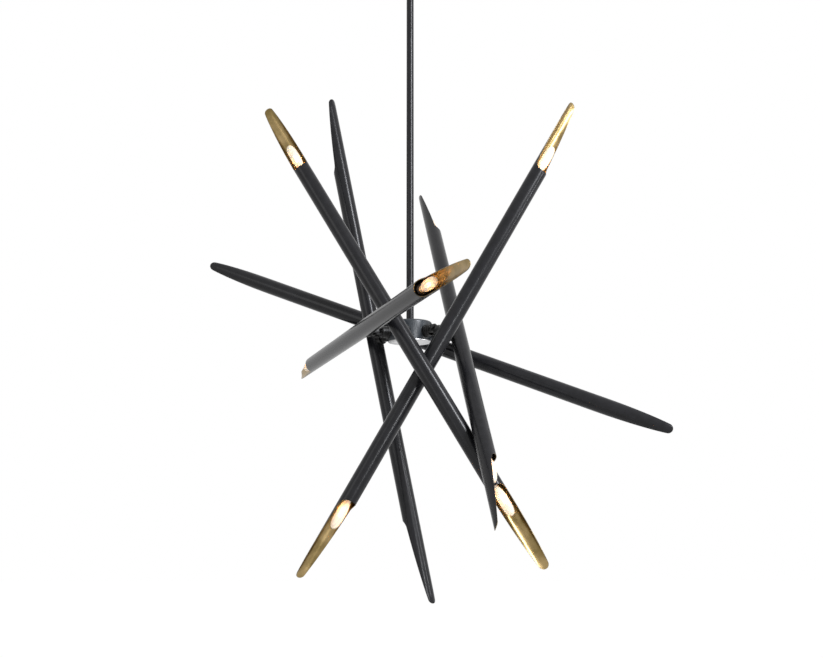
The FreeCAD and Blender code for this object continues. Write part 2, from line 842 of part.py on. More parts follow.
def make_saddle(name, azimuth, turn, lean):
    """Tongue in the fork, and the round boss that is brazed to the tube's side."""
    to_tube = tube_reach()
    thick = s.fork_slot - s.seat_gap * 2
    tongue = tongue_radius()
    inner_face = boss_start()
    pin_hole = s.knuckle_bolt_diameter / 2 + s.running_clearance
    boss = cut(
        cylinder(s.saddle_boss_diameter / 2, to_tube - inner_face, (inner_face, 0, 0), "X"),
        cylinder(s.tube_diameter / 2, s.tube_diameter * 2, (to_tube, 0, -s.tube_diameter)),
    )
    saddle = cut(
        fuse(
            boss,
            cylinder(tongue, thick, (0, -thick / 2, 0), "Y"),
            box(inner_face, thick, tongue * 2, (0, -thick / 2, -tongue)),
        ),
        cylinder(pin_hole, thick, (0, -thick / 2, 0), "Y"),
        cylinder(s.saddle_bore / 2, to_tube, (0, 0, 0), "X"),
    )
    node(f"tube_saddle_{name}", saddle, saddle_place(azimuth, turn, lean))


# ---------------------------------------------------------------- tubes and lamps


def make_tube(name, azimuth, turn, lean, offset):
    """Round tube, cut open like a quill at both ends and rounded at its tips."""
    body = new_body(f"tube_{name}")
    radius = s.tube_diameter / 2
    half = s.tube_length / 2
    ring = new_sketch(body, "XY_Plane", "Ring")
    circles(ring, [radius, radius - s.tube_wall])
    pad(body, ring, s.tube_length, midplane=True)

    notch = half - s.cut_length
    curve_end = notch + s.cut_curve_run
    past = half + PAST_END
    wide = radius + PAST_END
    at_tip = s.tip_height - radius
    side = new_sketch(body, "XZ_Plane", "QuillCut")
    for up in (1, -1):
        corners = [
            (radius, notch * up),
            (s.blade_height - radius, curve_end * up),
            (at_tip, half * up),
            (at_tip, past * up),
            (wide, past * up),
            (wide, notch * up),
        ]
        outline(side, corners, arcs={0: (QUILL_BULGE * up, None)})
    pocket(body, side, midplane=True)

    reach = s.tip_round_width / 2
    depth = s.tip_round_depth
    arc_radius = (reach * reach + depth * depth) / (depth * 2)
    side_slope = reach / (arc_radius - depth)
    arc_end = half - depth
    side_end = arc_end - (wide - reach) * side_slope
    bulge = depth.value / s.tip_round_width.value
    tip = new_sketch(body, "YZ_Plane", "TipRound")
    for up in (1, -1):
        corners = [
            (-reach, arc_end * up),
            (reach, arc_end * up),
            (wide, side_end * up),
            (wide, past * up),
            (-wide, past * up),
            (-wide, side_end * up),
        ]
        outline(tip, corners, arcs={0: (bulge * up, arc_radius)})
    pocket(body, tip, midplane=True)

    wire_hole = new_sketch(body, "YZ_Plane", "WireHole")
    circles(wire_hole, [s.wire_hole_diameter / 2], y=-getattr(s, f"offset_tube_{name}"))
    pocket(body, wire_hole, radius)
    node(f"light_tube_{name}", body, tube_place(azimuth, turn, lean, offset))


def both_ends(piece):
    """The same piece in the tube's upper and in its lower end."""
    return group(piece, moved(piece, spin(X_AXIS, 180)))


def make_lamps(name, azimuth, turn, lean, offset):
    """A lampholder and a bulb in each end of a tube."""
    mouth = s.tube_length / 2 - s.cut_length - s.holder_setback
    foot = mouth - s.holder_length
    place = tube_place(azimuth, turn, lean, offset)
    cap_end = (0, 0, mouth - s.cap_length)
    holder = cut(
        fuse(
            cylinder(s.holder_diameter / 2, s.holder_length, (0, 0, foot)),
            cylinder(s.tube_diameter / 2 - s.tube_wall, s.holder_flange, (0, 0, foot)),
        ),
        cylinder(s.cap_diameter / 2 + s.cap_clearance, s.cap_length, cap_end),
    )
    node(f"lampholders_{name}", both_ends(holder), place)

    contact = s.cap_contact_height
    cap = fuse(
        cylinder(s.cap_diameter / 2, s.cap_length - contact, (0, 0, mouth - s.cap_length + contact)),
        cylinder(s.cap_contact_diameter / 2, contact, cap_end),
    )
    node(f"bulb_caps_{name}", both_ends(cap), place)
    glass = cut(bulb_form(mouth, as_size(0)), bulb_form(mouth, s.bulb_wall))
    node(f"bulb_glass_{name}", both_ends(glass), place)


def bulb_form(neck, inset):
    """A cone from the neck, a straight body and a round end, all drawn in by the inset."""
    full = s.bulb_diameter / 2
    shoulder = neck + s.bulb_cone
    straight = s.bulb_length - s.bulb_cone - full
    return fuse(
        cone(s.bulb_neck_diameter / 2 - inset, full - inset, s.bulb_cone - inset, (0, 0, neck + inset)),
        cylinder(full - inset, straight, (0, 0, shoulder)),
        ball(full - inset, (0, 0, shoulder + straight)),
    )


# ---------------------------------------------------------------- whole model


def make_model():
    hub_top = s.hub_drop - s.hub_rise
    under_nut, nipple_end = make_ceiling_fitting()
    hang_pivot = nipple_end + s.tongue_top_gap + s.hang_ear_radius
    make_hang_swivel(under_nut, hang_pivot)
    make_stem(hang_pivot, hub_top)
    make_hub(hub_top)
    make_collars()
    for name, azimuth, turn, lean, offset in TUBES:
        make_fork(name, azimuth, turn)
        make_knuckle_fasteners(name, azimuth, turn)
        make_saddle(name, azimuth, turn, lean)
        make_tube(name, azimuth, turn, lean, offset)
        make_lamps(name, azimuth, turn, lean, offset)


def check_and_write():
    """Stop on any failed feature or poor shape, then write one file for each node."""
    doc.recompute()
    for item in doc.Objects:
        if "Invalid" in item.State or "Error" in item.State:
            raise RuntimeError(f"{item.Name} ({item.Label}) failed: {item.State}")
    for piece in nodes:
        if piece.Shape.isNull() or not piece.Shape.isValid():
            raise RuntimeError(f"{piece.Label} has no valid shape")
    os.makedirs("parts", exist_ok=True)
    for piece in nodes:
        piece.Shape.exportStep(f"parts/{piece.Label}.step")
        print(f"{piece.Label}: {len(piece.Shape.Solids)} solid(s), {piece.Shape.Volume:.0f} mm3")


make_model()
check_and_write()
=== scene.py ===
"""Looks of the sputnik chandelier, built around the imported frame.

Six long tubes, cut open like quills at both ends and lined with gold leaf, stand round a drum hub
on adjustable knuckles. The hub hangs from a stem rod, a hang-straight swivel and a canopy. Lengths
are in millimetres in the classes below and become metres when a mesh is made.
"""

from __future__ import annotations

import logging
import math
from dataclasses import dataclass, field
from enum import Enum
from typing import Sequence

import bpy
from mathutils import Matrix, Vector

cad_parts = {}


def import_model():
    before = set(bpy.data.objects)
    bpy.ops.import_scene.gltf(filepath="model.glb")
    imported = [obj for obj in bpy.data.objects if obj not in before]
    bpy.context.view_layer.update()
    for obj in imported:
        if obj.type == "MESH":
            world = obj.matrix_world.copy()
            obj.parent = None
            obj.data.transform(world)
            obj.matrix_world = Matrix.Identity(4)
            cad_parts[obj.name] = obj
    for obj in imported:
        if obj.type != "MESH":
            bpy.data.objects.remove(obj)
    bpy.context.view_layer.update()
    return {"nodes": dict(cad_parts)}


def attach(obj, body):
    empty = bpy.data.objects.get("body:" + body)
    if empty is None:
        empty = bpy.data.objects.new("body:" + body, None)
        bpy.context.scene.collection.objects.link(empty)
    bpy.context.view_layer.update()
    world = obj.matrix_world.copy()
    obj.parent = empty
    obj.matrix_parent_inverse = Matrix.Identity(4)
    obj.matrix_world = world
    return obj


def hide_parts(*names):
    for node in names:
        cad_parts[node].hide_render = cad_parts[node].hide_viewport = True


LOG = logging.getLogger("chandelier")
MM = 0.001
Colour = tuple[float, float, float]
Point = tuple[float, float]


# ---------------------------------------------------------------- finishes


class Surface(Enum):
    """How a finish is worked: what its noise does to colour, roughness and relief."""

    POWDER = "fine orange peel of a baked paint"
    LEAF = "gold leaf laid by hand over size"
    SPUN = "fine rings from the lathe"
    CAST = "slightly uneven moulding"


@dataclass(frozen=True)
class Finish:
    """An opaque finish.

    Attributes:
        name: Name of the Blender material.
        colour: Linear base colour.
        shade: Linear colour of its darker patches.
        metallic: 0 for paint and plastic, 1 for bare metal.
        roughness: Mean roughness.
        swing: How far the roughness wanders either way.
        specular: Specular level, 0.5 for common paint.
        surface: How the finish is worked.
        grain: Size of the pattern in millimetres.
        relief: Height of the pattern in millimetres.
        coat: Weight of a clear coat.
    """

    name: str
    colour: Colour
    shade: Colour
    metallic: float = 0.0
    roughness: float = 0.4
    swing: float = 0.05
    specular: float = 0.5
    surface: Surface = Surface.POWDER
    grain: float = 1.5
    relief: float = 0.02
    coat: float = 0.0

    def material(self) -> bpy.types.Material:
        """Build the material once, and hand out the same one afterwards.

        Returns:
            The Blender material of this finish.
        """
        known = bpy.data.materials.get(self.name)
        if known is not None:
            return known
        made = bpy.data.materials.new(self.name)
        made.use_nodes = True
        nodes, links = made.node_tree.nodes, made.node_tree.links
        shader = nodes["Principled BSDF"]
        shader.inputs["Metallic"].default_value = self.metallic
        shader.inputs["Specular IOR Level"].default_value = self.specular
        shader.inputs["Coat Weight"].default_value = self.coat
        shader.inputs["Coat Roughness"].default_value = self.roughness / 2
        place = nodes.new("ShaderNodeTexCoord")
        stretch = nodes.new("ShaderNodeMapping")
        if self.surface is Surface.SPUN:
            stretch.inputs["Scale"].default_value = (1.0, 1.0, 0.15)
        links.new(place.outputs["Object"], stretch.inputs["Vector"])
        fine = self._noise(made, stretch, 1 / (self.grain * MM), detail=4.0)
        broad = self._noise(made, stretch, 1 / (self.grain * MM * 18), detail=3.0)

        blend = nodes.new("ShaderNodeMix")
        blend.data_type = "RGBA"
        blend.inputs["A"].default_value = (*self.shade, 1)
        blend.inputs["B"].default_value = (*self.colour, 1)
        spread = nodes.new("ShaderNodeMapRange")
        spread.inputs["From Min"].default_value = 0.35
        spread.inputs["From Max"].default_value = 0.62
        links.new(broad.outputs["Fac"], spread.inputs["Value"])
        links.new(spread.outputs["Result"], blend.inputs["Factor"])
        links.new(blend.outputs["Result"], shader.inputs["Base Color"])

        rough = nodes.new("ShaderNodeMapRange")
        rough.inputs["From Min"].default_value = 0.3
        rough.inputs["From Max"].default_value = 0.7
        rough.inputs["To Min"].default_value = self.roughness - self.swing
        rough.inputs["To Max"].default_value = self.roughness + self.swing
        source = broad if self.surface in (Surface.LEAF, Surface.CAST) else fine
        links.new(source.outputs["Fac"], rough.inputs["Value"])
        links.new(rough.outputs["Result"], shader.inputs["Roughness"])

        relief = nodes.new("ShaderNodeBump")
        relief.inputs["Strength"].default_value = 0.35
        relief.inputs["Distance"].default_value = self.relief * MM
        links.new(fine.outputs["Fac"], relief.inputs["Height"])
        links.new(relief.outputs["Normal"], shader.inputs["Normal"])
        return made

    @staticmethod
    def _noise(
        made: bpy.types.Material, place: bpy.types.Node, scale: float, detail: float
    ) -> bpy.types.Node:
        """Add a noise texture on object coordinates.

        Args:
            made: Material that gets the node.
            place: Mapping node that feeds it.
            scale: Cells per metre.
            detail: Octaves.

        Returns:
            The noise node.
        """
        noise = made.node_tree.nodes.new("ShaderNodeTexNoise")
        noise.inputs["Scale"].default_value = scale
        noise.inputs["Detail"].default_value = detail
        made.node_tree.links.new(place.outputs["Vector"], noise.inputs["Vector"])
        return noise


@dataclass(frozen=True)
class ClearGlass:
    """Blown glass that lets the bulb's light out.

    Attributes:
        name: Name of the Blender material.
        tint: Linear colour of the glass.
        index: Index of refraction, set far below real glass to bend little of what is behind.
        coat: Weight of the clear coat that carries the reflections.
        coat_index: Index of the coat, that of real glass.
        coat_roughness: Roughness of the coat.
    """

    name: str
    tint: Colour
    index: float = 1.06
    coat: float = 0.6
    coat_index: float = 1.46
    coat_roughness: float = 0.02

    def material(self) -> bpy.types.Material:
        """Build the glass once.

        Returns:
            The Blender material.
        """
        known = bpy.data.materials.get(self.name)
        if known is not None:
            return known
        made = bpy.data.materials.new(self.name)
        made.use_nodes = True
        nodes, links = made.node_tree.nodes, made.node_tree.links
        shader = nodes["Principled BSDF"]
        shader.inputs["Base Color"].default_value = (*self.tint, 1)
        shader.inputs["Transmission Weight"].default_value = 1.0
        shader.inputs["Roughness"].default_value = 0.0
        shader.inputs["IOR"].default_value = self.index
        shader.inputs["Coat Weight"].default_value = self.coat
        shader.inputs["Coat IOR"].default_value = self.coat_index
        shader.inputs["Coat Roughness"].default_value = self.coat_roughness
        clear = nodes.new("ShaderNodeBsdfTransparent")
        clear.inputs["Color"].default_value = (*self.tint, 1)
        path = nodes.new("ShaderNodeLightPath")
        mix = nodes.new("ShaderNodeMixShader")
        links.new(path.outputs["Is Shadow Ray"], mix.inputs["Fac"])
        links.new(shader.outputs["BSDF"], mix.inputs[1])
        links.new(clear.outputs["BSDF"], mix.inputs[2])
        links.new(mix.outputs["Shader"], nodes["Material Output"].inputs["Surface"])
        return made


@dataclass(frozen=True)
class Glow:
    """Something that shines by itself.

    Attributes:
        name: Name of the Blender material.
        colour: Linear colour of the light.
        strength: Emission strength, 1 is white.
    """

    name: str
    colour: Colour
    strength: float

    def material(self) -> bpy.types.Material:
        """Build the glow once.

        Returns:
            The Blender material.
        """
        known = bpy.data.materials.get(self.name)
        if known is not None:
            return known
        made = bpy.data.materials.new(self.name)
        made.use_nodes = True
        shader = made.node_tree.nodes["Principled BSDF"]
        shader.inputs["Base Color"].default_value = (*self.colour, 1)
        shader.inputs["Emission Color"].default_value = (*self.colour, 1)
        shader.inputs["Emission Strength"].default_value = self.strength
        return made


SATIN_BLACK = Finish(
    "satin_black", (0.0095, 0.0095, 0.0110), (0.0065, 0.0065, 0.0075), roughness=0.25, swing=0.02,
    specular=0.22, grain=0.9, relief=0.003,
)
DRUM_BLACK = Finish(
    "drum_black", (0.020, 0.026, 0.032), (0.012, 0.016, 0.021), roughness=0.34, swing=0.05,
    specular=0.5, grain=0.8, relief=0.012,
)
FITTING_BLACK = Finish(
    "fitting_black", (0.006, 0.006, 0.006), (0.003, 0.003, 0.003), roughness=0.42, swing=0.06,
    specular=0.3, grain=0.6, relief=0.02,
)
CUT_RIM = Finish(
    "cut_rim", (0.16, 0.12, 0.06), (0.03, 0.024, 0.014), metallic=0.7, roughness=0.38, swing=0.08,
    specular=0.4, grain=1.0, relief=0.02,
)
GOLD_LEAF = Finish(
    "gold_leaf", (0.34, 0.245, 0.115), (0.18, 0.130, 0.048), metallic=1.0, roughness=0.32,
    swing=0.07, surface=Surface.LEAF, grain=2.2, relief=0.03,
)
BRUSHED_NICKEL = Finish(
    "brushed_nickel", (0.62, 0.62, 0.62), (0.50, 0.50, 0.51), metallic=1.0, roughness=0.38,
    swing=0.07, surface=Surface.SPUN, grain=1.2, relief=0.015,
)
ZINC = Finish(
    "zinc_plate", (0.58, 0.60, 0.62), (0.46, 0.48, 0.50), metallic=1.0, roughness=0.42, swing=0.08,
    surface=Surface.CAST, grain=1.4, relief=0.02,
)
GREEN_PLATE = Finish(
    "green_plate", (0.05, 0.24, 0.08), (0.03, 0.16, 0.05), metallic=0.6, roughness=0.38,
    swing=0.06, grain=0.8, relief=0.01,
)
BRIGHT_BRASS = Finish(
    "bright_brass", (0.86, 0.66, 0.30), (0.70, 0.50, 0.20), metallic=1.0, roughness=0.26,
    swing=0.06, surface=Surface.CAST, grain=1.2, relief=0.01,
)
HOLDER_DARK = Finish(
    "holder_moulding", (0.030, 0.024, 0.018), (0.018, 0.014, 0.011), roughness=0.5, swing=0.05,
    surface=Surface.CAST, grain=1.0, relief=0.03,
)
TERMINAL_IVORY = Finish(
    "terminal_ivory", (0.66, 0.62, 0.52), (0.56, 0.52, 0.42), roughness=0.55, swing=0.05,
    surface=Surface.CAST, grain=1.0, relief=0.03,
)
STEEL_WIRE = Finish(
    "support_wire", (0.55, 0.50, 0.45), (0.42, 0.38, 0.34), metallic=1.0, roughness=0.3,
    swing=0.05, grain=0.5, relief=0.0,
)
BULB_GLASS = ClearGlass("bulb_glass", (1.0, 0.97, 0.93))
FILAMENT = Glow("hot_filament", (1.0, 0.72, 0.42), 5.0)


# ---------------------------------------------------------------- mesh work


def turn_x(degrees: float) -> Matrix:
    """Rotation about X."""
    return Matrix.Rotation(math.radians(degrees), 4, "X")


def turn_y(degrees: float) -> Matrix:
    """Rotation about Y."""
    return Matrix.Rotation(math.radians(degrees), 4, "Y")


def turn_z(degrees: float) -> Matrix:
    """Rotation about Z."""
    return Matrix.Rotation(math.radians(degrees), 4, "Z")


def slide(x: float = 0.0, y: float = 0.0, z: float = 0.0) -> Matrix:
    """Translation by millimetres."""
    return Matrix.Translation(Vector((x, y, z)) * MM)


Z_TO_X = turn_y(90)


def arc(centre: Point, radius: float, start: float, end: float, steps: int = 6) -> list[Point]:
    """Points along an arc, ends included.

    Args:
        centre: Centre of the arc.
        radius: Radius.
        start: First angle in degrees.
        end: Last angle in degrees.
        steps: Number of spans.

    Returns:
        The points.
    """
    angles = [math.radians(start + (end - start) * i / steps) for i in range(steps + 1)]
    return [(centre[0] + radius * math.cos(a), centre[1] + radius * math.sin(a)) for a in angles]


class Shaper:
    """One mesh piece under construction, worked with Blender's own operators."""

    def __init__(self, name: str) -> None:
        """Take over the object that a primitive operator has just added.

        Args:
            name: Name of the piece.
        """
        self.obj = bpy.context.object
        self.obj.name = name
        self.obj.data.name = name

    # ------------------------------------------------ starting shapes

    @staticmethod
    def clear() -> None:
        """Leave edit mode and deselect everything."""
        if bpy.context.object is not None and bpy.context.object.mode != "OBJECT":
            bpy.ops.object.mode_set(mode="OBJECT")
        bpy.ops.object.select_all(action="DESELECT")

    @classmethod
    def cylinder(
        cls, name: str, radius: float, length: float, sides: int = 64, middle: Vector | None = None,
        capped: bool = True,
    ) -> "Shaper":
        """Start from a cylinder along Z.

        Args:
            name: Name of the piece.
            radius: Radius in millimetres.
            length: Length in millimetres.
            sides: Number of sides.
            middle: Its middle in millimetres.
            capped: Whether its ends are closed.

        Returns:
            The new piece.
        """
        cls.clear()
        bpy.ops.mesh.primitive_cylinder_add(
            vertices=sides,
            radius=radius * MM,
            depth=length * MM,
            end_fill_type="NGON" if capped else "NOTHING",
            location=(middle or Vector((0, 0, 0))) * MM,
        )
        piece = cls(name)
        piece.freeze()
        return piece

    @classmethod
    def lathe(cls, name: str, outline: Sequence[Point], steps: int = 96) -> "Shaper":
        """Spin a closed outline of (radius, height) points about Z.

        Args:
            name: Name of the piece.
            outline: Points in millimetres, in order.
            steps: Spans round the turn.

        Returns:
            The new piece.
        """
        cls.clear()
        bpy.ops.mesh.primitive_circle_add(vertices=len(outline), radius=MM, fill_type="NOTHING")
        piece = cls(name)
        for vertex, (radius, height) in zip(piece.obj.data.vertices, outline):
            vertex.co = (radius * MM, 0.0, height * MM)
        bpy.ops.object.mode_set(mode="EDIT")
        bpy.ops.mesh.select_all(action="SELECT")
        bpy.ops.mesh.spin(
            steps=steps, angle=2 * math.pi, center=(0, 0, 0), axis=(0, 0, 1), use_auto_merge=False
        )
        bpy.ops.mesh.select_all(action="SELECT")
        bpy.ops.mesh.remove_doubles(threshold=2e-6)
        bpy.ops.mesh.normals_make_consistent(inside=False)
        bpy.ops.object.mode_set(mode="OBJECT")
        return piece

    @classmethod
    def copy_of_node(cls, name: str, node: str) -> "Shaper":
        """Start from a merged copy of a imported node.

        Args:
            name: Name of the piece.
            node: Name of the node.

        Returns:
            The new piece.
        """
        cls.clear()
        source = bpy.data.objects[node]
        copy = bpy.data.objects.new(name, source.data.copy())
        bpy.context.scene.collection.objects.link(copy)
        bpy.context.view_layer.objects.active = copy
        copy.select_set(True)
        piece = cls(name)
        piece.obj.data.materials.clear()
        bpy.ops.object.mode_set(mode="EDIT")
        bpy.ops.mesh.select_all(action="SELECT")
        bpy.ops.mesh.remove_doubles(threshold=5e-6)
        bpy.ops.mesh.dissolve_limited(angle_limit=math.radians(0.6))
        bpy.ops.object.mode_set(mode="OBJECT")
        return piece

    # ------------------------------------------------ shaping

    def freeze(self) -> None:
        """Put the object's place, turn and scale into its mesh."""
        self.select()
        bpy.ops.object.transform_apply(location=True, rotation=True, scale=True)

    def select(self) -> None:
        """Make this piece the only selected one."""
        self.clear()
        bpy.context.view_layer.objects.active = self.obj
        self.obj.select_set(True)

    def move(self, place: Matrix) -> "Shaper":
        """Carry the mesh to another place.

        Args:
            place: Where its local frame goes.

        Returns:
            The piece itself.
        """
        self.obj.matrix_world = place
        self.freeze()
        return self

    def cut(self, *tools: "Shaper") -> "Shaper":
        """Cut other pieces out of this one.

        Args:
            tools: Pieces that are taken away and deleted.

        Returns:
            The piece itself.
        """
        for tool in tools:
            step = self.obj.modifiers.new("step", "BOOLEAN")
            step.operation = "DIFFERENCE"
            step.solver = "EXACT"
            step.object = tool.obj
            self.select()
            bpy.ops.object.modifier_apply(modifier=step.name)
            bpy.data.objects.remove(tool.obj)
        return self

    def soften(self, width: float, segments: int = 2, angle: float = 35.0) -> "Shaper":
        """Round the sharp edges with an applied bevel.

        Args:
            width: Width of the bevel in millimetres.
            segments: Spans across it.
            angle: Edges sharper than this many degrees are rounded.

        Returns:
            The piece itself.
        """
        step = self.obj.modifiers.new("step", "BEVEL")
        step.width = width * MM
        step.segments = segments
        step.limit_method = "ANGLE"
        step.angle_limit = math.radians(angle)
        step.harden_normals = False
        self.select()
        bpy.ops.object.modifier_apply(modifier=step.name)
        return self

    def finish(
        self, body: str, slot: str, *finishes: Finish | ClearGlass | Glow,
        replaces: Sequence[str] = (), smooth: float = 35.0,
    ) -> bpy.types.Object:
        """Dress the piece and hand it to the frame.

        Args:
            body: Body that it rides on.
            slot: Name of a material slot; not used.
            finishes: Its materials, in the order of its slots.
            replaces: Nodes that it stands for.
            smooth: Edges flatter than this many degrees are shaded smooth.

        Returns:
            The finished object.
        """
        self.select()
        bpy.ops.object.shade_smooth_by_angle(angle=math.radians(smooth))
        for finish in finishes:
            self.obj.data.materials.append(finish.material())
        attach(self.obj, body)
        if replaces:
            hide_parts(*replaces)
        LOG.info("%s rides on %s", self.obj.name, body)
        return self.obj


# ---------------------------------------------------------------- ceiling and stem


@dataclass
class CeilingFitting:
    """Canopy and hang-straight swivel; the crossbar keeps its imported shape.

    Attributes:
        canopy_radius: Outer radius of the canopy.
        canopy_depth: Ceiling to the canopy's underside.
        canopy_wall: Sheet thickness.
        canopy_corner: Radius of its lower edge.
        canopy_hole: Radius of its middle hole.
    """

    canopy_radius: float = 65.0
    canopy_depth: float = 28.0
    canopy_wall: float = 1.2
    canopy_corner: float = 9.0
    canopy_hole: float = 5.2

    def canopy(self) -> None:
        """Spin the canopy from its sheet outline."""
        outer, wall, corner = self.canopy_radius, self.canopy_wall, self.canopy_corner
        bend = (outer - corner, -self.canopy_depth + corner)
        outline = [(self.canopy_hole, -self.canopy_depth)]
        outline += arc(bend, corner, -90, 0, 10)
        outline += [(outer, -0.3), (outer - 0.3, 0.0)]
        outline += [(outer - wall + 0.3, 0.0), (outer - wall, -0.3)]
        outline += arc(bend, corner - wall, 0, -90, 10)
        outline += [(self.canopy_hole, -self.canopy_depth + wall)]
        piece = Shaper.lathe("canopy_shell", outline, 128)
        piece.finish("ceiling_mount", "black", SATIN_BLACK, replaces=["canopy"])

    def swivel(self) -> None:
        """Refine the nut, the yoke, its bolt and the stem's tongue."""
        for node, body in (
            ("canopy_ring_nut", "ceiling_mount"),
            ("hang_swivel_yoke", "swivel_yoke"),
            ("hang_pivot_bolt", "swivel_yoke"),
            ("stem_tongue", "stem_and_hub"),
        ):
            piece = Shaper.copy_of_node(f"{node}_worked", node).soften(0.3)
            piece.finish(body, "black", SATIN_BLACK, replaces=[node])

    def build(self) -> None:
        """Make the whole ceiling fitting."""
        self.canopy()
        self.swivel()


@dataclass
class Stem:
    """The rod between the swivel and the hub.

    Attributes:
        radius: Outer radius.
        wall: Wall thickness.
        top: Height of its upper end.
        bottom: Height of its lower end.
        edge: Chamfer at both ends.
    """

    radius: float = 8.75
    wall: float = 1.5
    top: float = -70.0
    bottom: float = -903.0
    edge: float = 0.3

    def build(self) -> None:
        """Spin the rod from its wall's outline."""
        outer, inner, edge = self.radius, self.radius - self.wall, self.edge
        outline = [
            (inner, self.bottom),
            (outer - edge, self.bottom),
            (outer, self.bottom + edge),
            (outer, self.top - edge),
            (outer - edge, self.top),
            (inner, self.top),
        ]
        piece = Shaper.lathe("stem_tube", outline, 64)
        piece.finish("stem_and_hub", "black", SATIN_BLACK, replaces=["stem_rod"])


# ---------------------------------------------------------------- hub


@dataclass
class Hub:
    """The drum, its bright bottom cover and the collars that carry the arms.

    Attributes:
        drop: Ceiling to the hub's middle.
        drum_radius: Outer radius of the drum.
        collar_radius: Radius of a collar's flange.
        collar_reach: Hub axis to a collar's outer face.
        sleeve_radius: Radius of the sleeve through the drum's wall.
        sleeve_start: Hub axis to the sleeve's inner end.
        bore: Radius of the bore that the fork's shaft turns in.
        groove: Width and depth of the turned groove round a flange.
    """

    drop: float = 930.0
    drum_radius: float = 51.0
    collar_radius: float = 14.0
    collar_reach: float = 62.0
    sleeve_radius: float = 8.0
    sleeve_start: float = 46.0
    bore: float = 5.05
    groove: float = 0.8

    def drum(self) -> None:
        """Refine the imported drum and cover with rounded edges."""
        shell = Shaper.copy_of_node("hub_drum", "hub_shell").soften(0.35)
        shell.finish("stem_and_hub", "black", DRUM_BLACK, replaces=["hub_shell"], smooth=28)
        cover = Shaper.copy_of_node("hub_bottom_cover", "hub_cover").soften(0.3)
        cover.finish("stem_and_hub", "cover", BRUSHED_NICKEL, replaces=["hub_cover"])

    def collar(self, number: str, azimuth: float) -> None:
        """Turn one collar, fit it to the drum and set it in its arm's place.

        Args:
            number: Number of the tube that it carries.
            azimuth: Azimuth of the arm.
        """
        radius, reach, groove = self.collar_radius, self.collar_reach, self.groove
        root = self.drum_radius * math.cos(math.asin(radius / self.drum_radius)) - 1.0
        middle = (reach + self.drum_radius) / 2
        outline = [
            (self.bore, self.sleeve_start),
            (self.sleeve_radius, self.sleeve_start),
            (self.sleeve_radius, root),
            (radius, root),
            (radius, middle - groove),
            (radius - groove, middle - groove / 2),
            (radius - groove, middle + groove / 2),
            (radius, middle + groove),
            (radius, reach - 0.8),
            (radius - 0.8, reach),
            (self.bore + 0.3, reach),
            (self.bore, reach - 0.3),
        ]
        piece = Shaper.lathe(f"arm_collar_{number}", outline, 72).move(Z_TO_X)
        drum = Shaper.cylinder("drum_cutter", self.drum_radius, 80, 192)
        sleeve = Shaper.cylinder("sleeve_keeper", self.sleeve_radius, 40, 72).move(Z_TO_X)
        drum.cut(sleeve.move(slide(x=self.drum_radius)))
        piece.cut(drum)
        piece.move(slide(z=-self.drop) @ turn_z(azimuth))
        piece.finish("stem_and_hub", "black", FITTING_BLACK, replaces=["arm_collars"])

    def build(self, arms: Sequence["TubePose"]) -> None:
        """Make the hub.

        Args:
            arms: One pose for each arm.
        """
        self.drum()
        for pose in arms:
            self.collar(pose.number, pose.azimuth)


# ---------------------------------------------------------------- arms and tubes


@dataclass(frozen=True)
class TubePose:
    """How one tube hangs.

    Attributes:
        number: Its number.
        azimuth: Azimuth of its arm in degrees.
        turn: Turn about the arm in degrees.
        lean: Lean at the knuckle in degrees.
        offset: Saddle to the tube's middle in millimetres.
    """

    number: str
    azimuth: float
    turn: float
    lean: float
    offset: float

    pivot_reach = 80.0
    arm_reach = 118.4
    hub_drop = 930.0

    def fork_frame(self) -> Matrix:
        """Frame of the fork: X out along the arm."""
        return slide(z=-self.hub_drop) @ turn_z(self.azimuth) @ turn_x(-self.turn)

    def saddle_frame(self) -> Matrix:
        """Frame of the saddle: origin on the knuckle's bolt."""
        return self.fork_frame() @ slide(x=self.pivot_reach) @ turn_y(self.lean)

    def tube_frame(self) -> Matrix:
        """Frame of the tube: origin in its middle, Z along it, X out of its open side."""
        return self.saddle_frame() @ slide(x=self.arm_reach - self.pivot_reach, z=self.offset)


POSES = (
    TubePose("1", 15, 43.6, 4.8, 25),
    TubePose("2", 75, 68.4, 5.0, 1),
    TubePose("3", 135, 5.2, 11.0, 7),
    TubePose("4", 195, 87.5, -3.5, -21),
    TubePose("5", 255, -31.5, -2.1, 16),
    TubePose("6", 315, 23.4, 19.2, 6),
)


@dataclass
class Knuckle:
    """Fork, knuckle bolt and saddle of one arm.

    Attributes:
        pose: How its tube hangs.
        edge: Rounding of the machined edges.
    """

    pose: TubePose
    edge: float = 0.4

    def build(self) -> None:
        """Refine the three nodes of the knuckle."""
        number = self.pose.number
        for node, body, slot in (
            (f"swivel_fork_{number}", f"knuckle_{number}", "black"),
            (f"knuckle_fasteners_{number}", f"knuckle_{number}", "fastener"),
            (f"tube_saddle_{number}", f"tube_unit_{number}", "black"),
        ):
            piece = Shaper.copy_of_node(f"{node}_worked", node).soften(self.edge)
            piece.finish(body, slot, FITTING_BLACK, replaces=[node])


